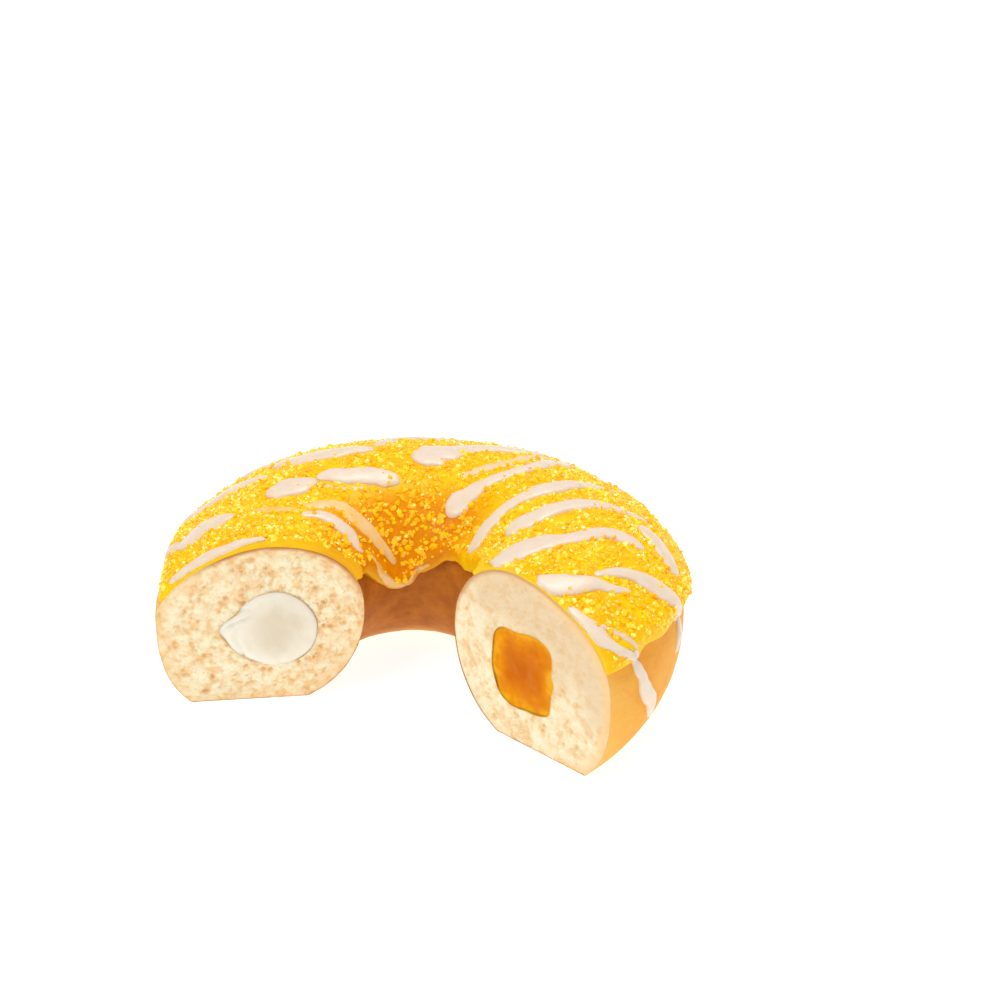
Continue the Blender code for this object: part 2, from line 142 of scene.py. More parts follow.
def selectOnly(*pieces):
    bpy.ops.object.select_all(action="DESELECT")
    for piece in pieces:
        piece.select_set(True)
    bpy.context.view_layer.objects.active = pieces[0]


def startEditing():
    bpy.ops.object.mode_set(mode="EDIT")
    bpy.ops.mesh.select_all(action="SELECT")


def stopEditing():
    bpy.ops.object.mode_set(mode="OBJECT")


def takeNew(name):
    # the primitive just added, with its place put into its mesh
    piece = bpy.context.object
    piece.name = piece.data.name = name
    bpy.ops.object.transform_apply(location=True, rotation=True, scale=True)
    return piece


def spunTube(name, radius, sides, steps, fill="NOTHING"):
    # a circle spun half way round the axis, to be laid along the cut ring
    bpy.ops.object.select_all(action="DESELECT")
    bpy.ops.mesh.primitive_circle_add(
        vertices=sides,
        radius=radius,
        fill_type=fill,
        location=(ring["heartRadius"], 0.0, 0.0),
        rotation=(math.pi / 2, 0.0, 0.0),
    )
    tube = takeNew(name)
    startEditing()
    bpy.ops.mesh.spin(steps=steps, angle=math.pi, center=(0.0, 0.0, 0.0), axis=(0.0, 0.0, 1.0))
    stopEditing()
    return tube


def readTube(points):
    # share of the way round, roll and distance from the heart line of a tube just spun
    share = np.abs(np.arctan2(points[:, 1], points[:, 0])) / math.pi
    out = np.hypot(points[:, 0], points[:, 1]) - ring["heartRadius"]
    roll = np.degrees(np.arctan2(points[:, 2], out))
    return share, roll, np.hypot(out, points[:, 2])


def wrappedSlab(name, lengthSteps, widthSteps):
    # a closed slab from 0 to 1 each way, to be laid on the ring
    bpy.ops.object.select_all(action="DESELECT")
    bpy.ops.mesh.primitive_grid_add(
        x_subdivisions=lengthSteps, y_subdivisions=widthSteps, size=1.0, location=(0.5, 0.5, 0.0)
    )
    slab = takeNew(name)
    startEditing()
    bpy.ops.mesh.extrude_region_move(TRANSFORM_OT_translate={"value": (0.0, 0.0, 1.0)})
    stopEditing()
    return slab


def volumeOf(piece):
    piece.data.calc_loop_triangles()
    corners = np.array([triangle.vertices[:] for triangle in piece.data.loop_triangles])
    points = readPoints(piece)
    first, second, third = (points[corners[:, side]] for side in range(3))
    return np.einsum("ij,ij->i", first, np.cross(second, third)).sum() / 6.0


def turnOutwards(piece, smooth=True):
    selectOnly(piece)
    startEditing()
    bpy.ops.mesh.normals_make_consistent(inside=False)
    stopEditing()
    if volumeOf(piece) < 0.0:
        startEditing()
        bpy.ops.mesh.flip_normals()
        stopEditing()
    if smooth:
        bpy.ops.object.shade_smooth()


def noiseAt(points, scale, octaves, seed):
    # smooth noise from about -1 to 1; scale is the size of its lumps in metres
    fading, shrinking = 0.8, 2.1  # of each finer octave
    shift = Vector((seed * 3.17, seed * 7.41, seed * 1.93))
    places = (Vector(point) / scale + shift for point in points)
    return np.array([noise.fractal(place, fading, shrinking, octaves) for place in places])


def cellsAt(points, scale, seed):
    # for each point the nearest two cell distances, and a number of the cell's own
    shift = Vector((seed * 5.3, seed * 2.9, seed * 8.7))
    mixer, spread = Vector((12.99, 78.23, 37.72)), 43758.5  # these make the cell's own number
    rows = []
    for point in points:
        near, middles = noise.voronoi(Vector(point) / scale + shift)
        own = (math.sin(middles[0].dot(mixer)) * spread) % 1.0
        rows.append((near[0], near[1], own))
    return np.array(rows).reshape(-1, 3).T


# Small tools for the materials
def tint(red, green, blue):
    # a colour as a picture shows it, 0 to 255, to the one that light works with
    shown = [channel / 255.0 for channel in (red, green, blue)]
    light = [c / 12.92 if c <= 0.04045 else ((c + 0.055) / 1.055) ** 2.4 for c in shown]
    return (*light, 1.0)


class Finish:
    # one procedural material; a colour given to it is (red, green, blue), 0 to 255
    def __init__(self, name, looks):
        self.material = bpy.data.materials.new(name)
        self.material.use_nodes = True
        self.tree = self.material.node_tree
        self.shader = self.tree.nodes["Principled BSDF"]
        for socket, value in looks.items():
            self.shader.inputs[socket].default_value = value
        self.place = self.tree.nodes.new("ShaderNodeTexCoord").outputs["Object"]

    def put(self, socket, value):
        if isinstance(value, bpy.types.NodeSocket):
            self.tree.links.new(value, socket)
        else:
            socket.default_value = value

    def value(self, name):
        node = self.tree.nodes.new("ShaderNodeAttribute")
        node.attribute_name = name
        return node.outputs["Fac"]

    def clouds(self, size, detail=4.0, rough=0.55):
        # soft noise; sizes are in metres here and in cells
        node = self.tree.nodes.new("ShaderNodeTexNoise")
        self.put(node.inputs["Vector"], self.place)
        node.inputs["Scale"].default_value = 1.0 / size
        node.inputs["Detail"].default_value = detail
        node.inputs["Roughness"].default_value = rough
        return node.outputs["Fac"]

    def cells(self, size):
        node = self.tree.nodes.new("ShaderNodeTexVoronoi")
        self.put(node.inputs["Vector"], self.place)
        node.inputs["Scale"].default_value = 1.0 / size
        return node.outputs["Distance"]

    def span(self, value, low, high, toLow=0.0, toHigh=1.0):
        node = self.tree.nodes.new("ShaderNodeMapRange")
        node.interpolation_type = "SMOOTHSTEP"
        self.put(node.inputs["Value"], value)
        ends = {"From Min": low, "From Max": high, "To Min": toLow, "To Max": toHigh}
        for socket, number in ends.items():
            node.inputs[socket].default_value = number
        return node.outputs["Result"]

    def sum(self, operation, first, second):
        node = self.tree.nodes.new("ShaderNodeMath")
        node.operation = operation
        node.use_clamp = True
        self.put(node.inputs[0], first)
        self.put(node.inputs[1], second)
        return node.outputs["Value"]

    def blend(self, share, first, second):
        node = self.tree.nodes.new("ShaderNodeMix")
        node.data_type = "RGBA"
        self.put(node.inputs["Factor"], share)
        self.put(node.inputs["A"], first)
        self.put(node.inputs["B"], tint(*second) if isinstance(second, tuple) else second)
        return node.outputs["Result"]

    def ramp(self, value, tones):
        node = self.tree.nodes.new("ShaderNodeValToRGB")
        stops = node.color_ramp.elements
        for number, (place, colour) in enumerate(tones):
            stop = stops[number] if number < 2 else stops.new(place)
            stop.position = place
            stop.color = tint(*colour)
        self.put(node.inputs["Fac"], value)
        return node.outputs["Color"]

    def bump(self, height, depth, strength, under=None):
        node = self.tree.nodes.new("ShaderNodeBump")
        node.inputs["Strength"].default_value = strength
        node.inputs["Distance"].default_value = depth
        self.put(node.inputs["Height"], height)
        if under is not None:
            self.put(node.inputs["Normal"], under)
        return node.outputs["Normal"]

    def glow(self, colour, strength):
        self.shader.inputs["Emission Color"].default_value = tint(*colour)
        self.shader.inputs["Emission Strength"].default_value = strength

    def finish(self, colour, relief=None):
        self.put(self.shader.inputs["Base Color"], colour)
        if relief is not None:
            self.put(self.shader.inputs["Normal"], relief)
        return self.material


def finishPiece(piece, material, node):
    piece.data.materials.clear()
    piece.data.materials.append(material)
    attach(piece, "root")
    if node:
        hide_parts(node)
    print(piece.name, "made:", sum(len(face.vertices) - 2 for face in piece.data.polygons), "triangles")


# The channel that the fillings lie in, mango from the right cut and cream from
# the left. Each outline goes round by roll in degrees and reach in millimetres
fillings = {
    "height": 0.0137,
    "mangoHeart": 0.0250,
    "creamHeart": 0.0241,
    "mangoOutline": (
        (4, 6.9), (17, 6.4), (32, 7.6), (48, 9.0), (63, 8.6), (78, 7.9), (100, 7.1), (116, 7.8),
        (127, 8.5), (142, 8.2), (160, 7.1), (178, 6.9), (205, 7.1), (229, 7.8), (248, 7.6), (275, 6.8),
        (301, 7.6), (316, 8.1), (333, 6.8), (349, 6.4),
    ),
    "creamOutline": (
        (0, 8.8), (12, 7.5), (24, 6.5), (38, 6.2), (61, 6.4), (81, 6.6), (103, 6.9), (126, 6.9),
        (148, 7.1), (172, 7.5), (194, 7.6), (217, 7.8), (233, 7.6), (254, 7.2), (277, 7.0), (299, 6.9),
        (322, 7.0), (342, 7.8), (353, 8.6),
    ),
    "smoothing": 5.0,  # degrees of roll
    "meet": 90.0,
    "meetingLength": 40.0,
    "meetingGap": 0.4,  # degrees of bearing, on each side of the meeting place
    "spare": 0.0002,
    "tubeRadius": 0.006,  # of the plain tube a filling is shaped from
}


def outlineReach(name, roll):
    rolls, reaches = np.array(fillings[name]).T
    shifts = (-fillings["smoothing"], 0.0, fillings["smoothing"])
    near = [np.interp(roll + shift, rolls, reaches, period=360.0) for shift in shifts]
    return sum(near) / len(near) * mm


def fillingPoint(bearing, roll, spare, size=1.0):
    mango = np.clip(0.5 - (bearing - fillings["meet"]) / fillings["meetingLength"], 0.0, 1.0)
    mangoFar, creamFar = outlineReach("mangoOutline", roll), outlineReach("creamOutline", roll)
    far = (mango * mangoFar + (1.0 - mango) * creamFar + spare) * size
    heart = between((fillings["creamHeart"], fillings["mangoHeart"]), mango)
    radius = heart + far * np.cos(np.radians(roll))
    return ringPoint(bearing, radius, fillings["height"] + far * np.sin(np.radians(roll)))


# Dough: the fried ring with its channel, and the two cut faces with their crumb.
# A pair without a note is for the right cut and the left cut; a zone fades in
# over its first two rolls and out over its last two
dough = {
    "tubeRadius": 0.012,  # of the plain ring it is shaped from
    "channelRadius": 0.005,
    "channelSpare": 0.0001,
    "aroundTube": 256,
    "alongRing": 144,
    "alongChannel": 24,
    "acrossCut": 46,
    "firstRows": (0.0, 0.10, 0.28, 0.60, 1.2),  # degrees from a cut
    "lastRows": (0.925, 0.965, 0.988),  # shares of the way out to the skin
    "crumbDepth": (0.00032, 0.00052),
    "crumbSize": (0.0008, 0.00105),
    "crumbSeed": (11, 23),
    "crumbWaves": (0.0045, 0.22),  # size and strength
    "pores": ((1.9, 1.0, 0.8), (1.0, 0.7, 0.5), (0.52, 0.4, 0.2)),  # size, depth, rarity
    "poreWall": (0.03, 0.42),  # from solid crumb to open pore
    "skinWidth": 0.0009,
    "skinSink": 0.00018,
    "crust": 0.00006,
    "crustLumps": 0.0035,
    "zones": {
        "holeSide": (100.0, 150.0, 235.0, 262.0),
        "browned": (20.0, 60.0, 150.0, 185.0),
        "byCrust": (-75.0, -50.0, 60.0, 90.0),
        # painted shadow: darker crumb beside the filling, low on the outer side, where the gap lies in shade
        "gapShadow": (-85.0, -60.0, -25.0, 0.0),
    },
    "outerSide": (70.0, 120.0),  # rolls that the light crust by the cuts ends over
    "footHeight": 0.006,
    "nearCutWidth": 0.006,
    "nearCutShown": 0.6,
    "arcRadius": 0.04,
    "gapShadowWidth": 0.06,
    "shadeHeight": (0.011, 0.026),  # painted shade: the darker, greyer top of a cut starts over these heights
    "shadeLumps": (0.006, 0.005),  # size and strength
    "poreShadeShown": (0.6, 1.0),
    "coarse": (0.3, 1.0),
    "brownedShown": (0.6, 1.0),
    "leftFace": (0.25, 1.0),
    "gapShadowShown": (0.0, 0.7),
    "topShadeShown": (0.72, 0.06),
    "looks": {
        "Roughness": 0.62,
        "Specular IOR Level": 0.2,
        "Subsurface Weight": 0.18,
        "Subsurface Radius": (1.0, 0.6, 0.3),
        "Subsurface Scale": 0.0012,
    },
    # the crumb's colour from pale ridges to tan; the tan end is painted shade in the pores
    "crumbAndPoreShadeTones": (
        (0.0, (255, 245, 214)),
        (0.35, (253, 230, 186)),
        (0.7, (241, 198, 138)),
        (1.0, (205, 150, 88)),
    ),
    "crustTones": ((0.25, (249, 184, 74)), (0.55, (246, 169, 56)), (0.8, (233, 147, 42))),
    "holeTones": ((0.3, (202, 124, 32)), (0.7, (168, 92, 14))),
    "patchTone": (240, 192, 130),
    "speckTone": (222, 176, 122),
    "blobTone": (255, 244, 206),
    "topShadeTone": (230, 200, 158),
    "rimTone": (252, 208, 144),
    "gapShadowTone": (188, 134, 78),
    "footTone": (238, 182, 92),
    "nearCutTone": (252, 196, 92),
    "crustLineTone": (198, 126, 54),
}


def spreadRows(share, steps, total, first):
    # evenly spaced rows, but closer together near both cuts; first is in degrees
    rows = np.arange(steps + 1.0)
    near = len(first) - 1
    places = np.interp(rows, [near, steps - near], [first[-1], total - first[-1]])
    places[: near + 1] = first
    places[-near - 1:] = total - np.array(first[::-1])
    return np.interp(share * steps, rows, places)


def bySide(share, pair):
    return np.where(share > 0.5, pair[1], pair[0])


def inZone(roll, name):
    start, full, ending, gone = dough["zones"][name]
    return smoothStep(start, full, roll) * (1.0 - smoothStep(ending, gone, roll))


def crumbRelief(points, depth, size, seed):
    # how far each point of a cut face sinks, and how much of that is open pore
    waveSize, waveStrength = dough["crumbWaves"]
    waves = noiseAt(points, waveSize, 3, seed)
    pores = np.zeros(len(points))
    for step, (scale, deepness, rarity) in enumerate(dough["pores"]):
        near, second, own = cellsAt(points, size * scale, seed + step)
        hollow = smoothStep(*dough["poreWall"], second - near) * smoothStep(rarity, rarity + 0.25, own)
        pores = np.maximum(pores, deepness * hollow)
    sink = depth * (0.25 + 0.75 * pores + waveStrength * waves)
    return np.maximum(sink, 0.0), pores


def makeDoughMaterial():
    finish = Finish("crumbAndCrust", dough["looks"])
    pore, skin, coarse = finish.value("pore"), finish.value("skinDepth"), finish.value("coarse")
    mottle = finish.span(finish.clouds(0.0024, 5.0, 0.6), 0.38, 0.64, 0.0, 0.55)
    # painted shade: the ramp darkens the open pores, on top of the crumb's own mottling
    crumb = finish.ramp(finish.sum("ADD", finish.sum("MULTIPLY", pore, 0.5), mottle), dough["crumbAndPoreShadeTones"])
    patch = finish.span(finish.clouds(0.0055, 4.0, 0.6), 0.45, 0.7, 0.0, 0.4)
    crumb = finish.blend(finish.sum("MULTIPLY", patch, coarse), crumb, dough["patchTone"])
    speck = finish.span(finish.clouds(0.0007, 3.0, 0.6), 0.55, 0.72, 0.0, 0.5)
    crumb = finish.blend(finish.sum("MULTIPLY", speck, coarse), crumb, dough["speckTone"])
    blobs = finish.span(finish.cells(0.0018), 0.15, 0.5, 0.8, 0.0)
    blobs = finish.sum("MULTIPLY", blobs, finish.value("leftFace"))
    crumb = finish.blend(blobs, crumb, dough["blobTone"])
    # painted shade: the top of each cut face is greyed
    crumb = finish.blend(finish.value("shadedTop"), crumb, dough["topShadeTone"])
    rim = finish.sum("MULTIPLY", finish.span(skin, 0.0004, 0.0034, 0.7, 0.0), finish.value("warmRim"))
    crumb = finish.blend(rim, crumb, dough["rimTone"])
    # painted shadow in the gap between the filling and the crumb
    crumb = finish.blend(finish.value("gapShadow"), crumb, dough["gapShadowTone"])
    crust = finish.ramp(finish.clouds(0.006, 4.0, 0.6), dough["crustTones"])
    wall = finish.ramp(finish.clouds(0.004, 4.0, 0.6), dough["holeTones"])
    crust = finish.blend(finish.value("holeSide"), crust, wall)
    crust = finish.blend(finish.sum("MULTIPLY", finish.value("foot"), 0.6), crust, dough["footTone"])
    crust = finish.blend(finish.value("nearCut"), crust, dough["nearCutTone"])
    crustLine = finish.span(skin, 0.0002, 0.0012, 1.0, 0.0)
    crustLine = finish.sum("MULTIPLY", crustLine, finish.value("browned"))
    face = finish.blend(crustLine, crumb, dough["crustLineTone"])
    colour = finish.blend(finish.value("cutFace"), crust, face)
    grain = finish.bump(finish.clouds(0.00045, 3.0, 0.6), 0.00016, 0.55)
    pits = finish.bump(finish.cells(0.0009), 0.00022, 0.35, grain)
    return finish.finish(colour, pits)


def cutDisc(side):
    # a flat disc with a hole, from the skin in to the channel, extruded ring by ring
    middle = (side * ring["heartRadius"], 0.0, 0.0)
    bpy.ops.object.select_all(action="DESELECT")
    bpy.ops.mesh.primitive_circle_add(
        vertices=dough["aroundTube"],
        radius=dough["tubeRadius"],
        location=middle,
        rotation=(math.pi / 2, 0.0, 0.0),
    )
    disc = takeNew("cutDisc")
    bpy.context.tool_settings.mesh_select_mode = (False, True, False)
    startEditing()
    radii = np.linspace(dough["tubeRadius"], dough["channelRadius"], dough["acrossCut"] + 2)
    for wide, narrow in zip(radii[:-1], radii[1:]):
        bpy.ops.mesh.extrude_edges_indiv()
        bpy.ops.transform.resize(value=(narrow / wide,) * 3, center_override=middle)
    stopEditing()
    return disc


def doughMesh():
    body = spunTube("doughBody", dough["tubeRadius"], dough["aroundTube"], dough["alongRing"])
    channel = spunTube("channel", dough["channelRadius"], dough["aroundTube"], dough["alongChannel"])
    selectOnly(body, channel, cutDisc(1.0), cutDisc(-1.0))
    bpy.ops.object.join()
    startEditing()
    bpy.ops.mesh.remove_doubles(threshold=0.00001)
    stopEditing()
    return body


def makeDough():
    body = doughMesh()
    share, roll, far = readTube(readPoints(body))
    wallWidth = dough["tubeRadius"] - dough["channelRadius"]
    across = np.clip((far - dough["channelRadius"]) / wallWidth, 0.0, 1.0)
    inChannel, onCrust = across < 0.001, across > 0.999
    cutFace = ~inChannel & ((share < 1e-4) | (share > 1.0 - 1e-4))
    total = ring["leftCut"] - ring["rightCut"]
    bearing = ring["rightCut"] + spreadRows(share, dough["alongRing"], total, dough["firstRows"])
    bearing = np.where(inChannel, ring["rightCut"] + share * total, bearing)
    rows = dough["acrossCut"] + 1
    rowNumbers = [0, rows - 3, rows - 2, rows - 1, rows]
    nearSkin = np.interp(across * rows, rowNumbers, [0, *dough["lastRows"], 1])
    outer = onSkin(bearing, roll, 0.0)
    inner = fillingPoint(bearing, roll, dough["channelSpare"])
    shaped = inner + (outer - inner) * nearSkin[:, None]
    skinDepth = np.linalg.norm(outer - shaped, axis=1)
    crust = noiseAt(shaped[onCrust], dough["crustLumps"], 3, 5)
    normal = skinNormal(bearing[onCrust], roll[onCrust])
    offFloor = shaped[onCrust, 2] > 0.0004
    shaped[onCrust] += normal * (dough["crust"] * (crust - 0.6) * offFloor)[:, None]
    pore = np.zeros(len(shaped))
    for end, cutBearing in enumerate((ring["rightCut"], ring["leftCut"])):
        onFace = cutFace & (np.abs(share - end) < 0.01)
        depth, size, seed = (dough[name][end] for name in ("crumbDepth", "crumbSize", "crumbSeed"))
        sink, pore[onFace] = crumbRelief(shaped[onFace], depth, size, seed)
        fromSkin = smoothStep(0.0, dough["skinWidth"], skinDepth[onFace])
        sink = sink * (0.25 + 0.75 * fromSkin) + dough["skinSink"] * (1.0 - fromSkin)
        turn = math.radians(cutBearing)
        inwards = np.array([-math.sin(turn), math.cos(turn), 0.0]) * (1.0 if end == 0 else -1.0)
        shaped[onFace] += inwards * sink[:, None]
    shaped[:, 2] = np.maximum(shaped[:, 2], 0.0)
    writePoints(body, shaped)
    turnOutwards(body)
    roll = (roll + 90.0) % 360.0 - 90.0
    writeValue(body, "cutFace", np.where(cutFace & ~onCrust, 1.0, 0.0))
    # painted shade in the pores, stronger on the left face
    writeValue(body, "pore", pore * bySide(share, dough["poreShadeShown"]))
    writeValue(body, "skinDepth", skinDepth)
    writeValue(body, "coarse", bySide(share, dough["coarse"]))
    writeValue(body, "holeSide", inZone(roll, "holeSide"))
    writeValue(body, "foot", 1.0 - smoothStep(0.0003, dough["footHeight"], shaped[:, 2]))
    writeValue(body, "browned", inZone(roll, "browned") * bySide(share, dough["brownedShown"]))
    writeValue(body, "warmRim", bySide(share, (0.2 + 0.8 * inZone(roll, "byCrust"), 0.5)))
    # painted shadow: the crumb darkens near the channel, low on the outer side, where the gap between
    # filling and crumb is in shade
    gapShadow = inZone(roll, "gapShadow") * (1.0 - smoothStep(0.0, dough["gapShadowWidth"], across))
    writeValue(body, "gapShadow", gapShadow * bySide(share, dough["gapShadowShown"]))
    writeValue(body, "leftFace", bySide(share, dough["leftFace"]))
    nearCut = 1.0 - smoothStep(0.0, dough["nearCutWidth"], fromCuts(bearing, dough["arcRadius"]))
    nearCut *= dough["nearCutShown"]
    writeValue(body, "nearCut", nearCut * (1.0 - smoothStep(*dough["outerSide"], roll)))
    outwards = np.linalg.norm(shaped[:, :2] - ring["axis"], axis=1) - ring["heartRadius"]
    lumpSize, lumpStrength = dough["shadeLumps"]
    lumps = lumpStrength * noiseAt(shaped, lumpSize, 2, 61)
    # painted shade, darker higher up and further out on each cut face
    shade = smoothStep(*dough["shadeHeight"], shaped[:, 2] + 0.5 * outwards + lumps)
    writeValue(body, "shadedTop", bySide(share, dough["topShadeShown"]) * shade)
    finishPiece(body, makeDoughMaterial(), "dough")


# Cream: squeezed in from the left, a low dome at the cut with a lip towards the crust
cream = {
    "sides": 96,
    "steps": 40,
    "insets": 13,
    "bulge": 0.0007,
    "lumps": (0.0032, 0.00012),  # size and height
    "folds": 0.00035,
    "foldCount": 9.0,
    "sunk": 0.0001,
    "lipWidth": 0.006,
    "looks": {
        "Roughness": 0.42,
        "Specular IOR Level": 0.4,
        "Subsurface Weight": 0.25,
        "Subsurface Radius": (1.0, 0.8, 0.55),
        "Subsurface Scale": 0.0015,
    },
    "tones": ((0.05, (244, 236, 218)), (0.28, (236, 226, 204)), (0.6, (226, 213, 187))),
    "lipTone": (250, 243, 226),
}


def makeFilling(name, settings, start, end, shape):
    # a closed tube with domed ends, whose shape function gives each point its place
    radius = fillings["tubeRadius"]
    tube = spunTube(name, radius, settings["sides"], settings["steps"], "NGON")
    bpy.context.tool_settings.mesh_select_mode = (False, False, True)
    for side in (1.0, -1.0):
        selectOnly(tube)
        bpy.ops.object.mode_set(mode="EDIT")
        bpy.ops.mesh.select_all(action="DESELECT")
        stopEditing()
        for face in tube.data.polygons:
            face.select = len(face.vertices) > 4 and face.center.x * side > 0.0
        bpy.ops.object.mode_set(mode="EDIT")
        for step in range(settings["insets"]):
            bpy.ops.mesh.inset(thickness=radius / (settings["insets"] + 1), depth=0.0)
        bpy.ops.mesh.poke()
        stopEditing()
    share, roll, far = readTube(readPoints(tube))
    size = np.clip(far / radius, 0.0, 1.0)
    bearing = start + (end - start) * share
    writePoints(tube, shape(bearing, roll, size, share))
    turnOutwards(tube)
    writeValue(tube, "fromEdge", 1.0 - size)
    return tube


def makeCream():
    def shape(bearing, roll, size, share):
        atCut = share > 1.0 - 1e-4
        points = fillingPoint(bearing, roll, fillings["spare"], size)
        lumpSize, lumpHeight = cream["lumps"]
        lumps = lumpHeight * noiseAt(points, lumpSize, 3, 31)
        dome = cream["bulge"] * np.sqrt(np.clip(1.0 - size**3.0, 0.0, 1.0))
        onLip = smoothStep(0.5, 0.9, size) * (np.cos(np.radians(roll)) > 0.7)
        folds = cream["folds"] * np.sin(np.radians(cream["foldCount"] * roll) + 26.0 * size) * onLip
        turn = math.radians(ring["leftCut"])
        outwards = np.array([-math.sin(turn), math.cos(turn), 0.0])
        rise = atCut * (dome + lumps + folds - cream["sunk"])
        return points + outwards * rise[:, None]

    start = fillings["meet"] + fillings["meetingGap"]
    piece = makeFilling("creamFilling", cream, start, ring["leftCut"], shape)
    outwards = np.linalg.norm(readPoints(piece)[:, :2] - ring["axis"], axis=1) - fillings["creamHeart"]
    writeValue(piece, "byLip", smoothStep(0.0, cream["lipWidth"], outwards))
    finish = Finish("cheesecakeCream", cream["looks"])
    uneven = finish.span(finish.clouds(0.0035), 0.3, 0.7, -0.12, 0.12)
    tone = finish.ramp(finish.sum("ADD", finish.value("fromEdge"), uneven), cream["tones"])
    tone = finish.blend(finish.sum("MULTIPLY", finish.value("byLip"), 0.6), tone, cream["lipTone"])
    relief = finish.bump(finish.clouds(0.0006), 0.0001, 0.4)
    finishPiece(piece, finish.finish(tone, relief), "cream_filling")


# Mango: a jelly-like block that runs in from the right cut, sunk a little below the crumb
mango = {
    "sides": 96,
    "steps": 40,
    "insets": 13,
    "sink": 0.0002,
    "dish": 0.00025,
    "lumps": (0.0028, 0.00022),  # size and height
    "looks": {
        "Roughness": 0.3,
        "Specular IOR Level": 0.04,
        "Coat Weight": 0.02,
        "Coat Roughness": 0.12,
        "Subsurface Weight": 0.3,
        "Subsurface Radius": (1.0, 0.45, 0.06),
        "Subsurface Scale": 0.002,
    },
    "tones": ((0.0, (246, 172, 16)), (0.2, (233, 141, 0)), (0.5, (217, 118, 0)), (1.0, (204, 102, 0))),
}


def makeMango():
    def shape(bearing, roll, size, share):
        atCut = share < 1e-4
        points = fillingPoint(bearing, roll, fillings["spare"], size)
        lumpSize, lumpHeight = mango["lumps"]
        lumps = lumpHeight * noiseAt(points, lumpSize, 3, 41)
        turn = math.radians(ring["rightCut"])
        inwards = np.array([-math.sin(turn), math.cos(turn), 0.0])
        dip = atCut * (mango["sink"] + lumps + mango["dish"] * (1.0 - size))
        return points + inwards * np.maximum(dip, 0.0)[:, None]

    end = fillings["meet"] - fillings["meetingGap"]
    piece = makeFilling("mangoFilling", mango, ring["rightCut"], end, shape)
    finish = Finish("mangoFilling", mango["looks"])
    uneven = finish.span(finish.clouds(0.003), 0.3, 0.7, -0.16, 0.16)
    tone = finish.ramp(finish.sum("ADD", finish.value("fromEdge"), uneven), mango["tones"])
    relief = finish.bump(finish.clouds(0.0011), 0.0002, 0.5)
    finishPiece(piece, finish.finish(tone, relief), "mango_filling")


# Icing: a thick glaze with a bead near its edges, running down in places
glaze = {
    "alongSteps": 270,
    "acrossSteps": 100,
    "firstRows": (0.0, 0.08, 0.25, 0.5, 0.85, 1.3),  # degrees from a cut
    "crowding": 0.12,  # of the rows towards both edges
    "thickness": 0.0012,
    "ground": 0.0003,
    "rim": 0.00055,
    "rimWidth": 6.0,  # degrees of roll
    "bead": (0.0006, 9.0, 6.0),  # height, degrees from the edge, width in degrees
    "thinRight": (0.5, -8.0, 20.0, 50.0),  # share, bearing it ends at, rolls it starts over
    "thinLeft": (0.4, 192.0, 55.0, 85.0),  # share, bearing it starts at, rolls it ends over
    "cutRounding": 0.0005,
    "arcRadius": 0.03,
    "lumps": (0.0019, 0.00018),  # size and height
    "sunk": 0.0001,
    "outerEdge": 11.0,
    "outerRuns": (  # bearing, degrees of roll, width in degrees, bluntness
        (-16.0, -4.0, 17.0, 4),
        (-19.0, 2.0, 5.0, 4),
        (21.0, 4.0, 9.0, 2),
        (46.0, -5.0, 8.0, 2),
        (70.0, 6.0, 8.0, 2),
        (97.0, -4.0, 9.0, 2),
        (118.0, 7.0, 7.0, 2),
        (143.0, -5.0, 8.0, 2),
        (168.0, 5.0, 10.0, 2),
        (190.0, -3.0, 8.0, 2),
    ),
    "innerEdge": (  # bearing, roll; the big drip is the bulge round 130
        (-25, 133), (-10, 139), (7, 152), (23, 160), (40, 162.5), (71, 163.5), (80, 168), (88, 172),
        (96, 173.5), (102, 174), (106, 175.5), (110, 180), (115, 183.5), (124, 185.5), (137, 184.5),
        (147, 181.5), (156, 178), (164, 174), (172, 170), (181, 165), (193, 161.5), (205, 160),
    ),
    "drop": (132.0, 26.0, 0.0006),  # bearing, width in degrees and swelling of the big drip
    "dropFromHole": (6.0, 6.0),  # degrees from the edge, width in degrees
    "hollow": (111.0, 138.0, 30.0, 70.0),  # rolls and bearings that the darker hollow starts over
    "edgeWidth": 0.0016,
    "looks": {
        "Roughness": 0.34,
        "Specular IOR Level": 0.08,
        "Coat Weight": 0.06,
        "Coat Roughness": 0.12,
        "Subsurface Weight": 0.2,
        "Subsurface Radius": (1.0, 0.55, 0.08),
        "Subsurface Scale": 0.0012,
    },
    "tones": ((0.3, (255, 178, 0)), (0.5, (255, 198, 2)), (0.7, (255, 214, 10))),
    "blotTone": (255, 208, 34),
    "hollowTone": (232, 134, 0),
    "edgeTone": (255, 210, 16),
}


def bellAt(value, middle, width, power=2):
    return np.exp(-(np.abs((value - middle) / width) ** power))


def glazeOuterEdge(bearing):
    # small waves, with the runs that hang below them
    small = 0.8 * np.sin(np.radians(17.0 * bearing)) + 0.5 * np.sin(np.radians(31.0 * bearing + 70.0))
    runs = sum(
        drop * bellAt(bearing, middle, width, power)
        for middle, drop, width, power in glaze["outerRuns"]
    )
    return glaze["outerEdge"] - runs + small


def glazeInnerEdge(bearing):
    bearings, rolls = np.array(glaze["innerEdge"]).T
    near = [np.interp(bearing + shift, bearings, rolls) for shift in (-3.0, -1.5, 0.0, 1.5, 3.0)]
    small = 0.4 * np.sin(np.radians(11.0 * bearing + 30.0)) + 0.2 * np.sin(np.radians(23.0 * bearing))
    return sum(near) / len(near) + small


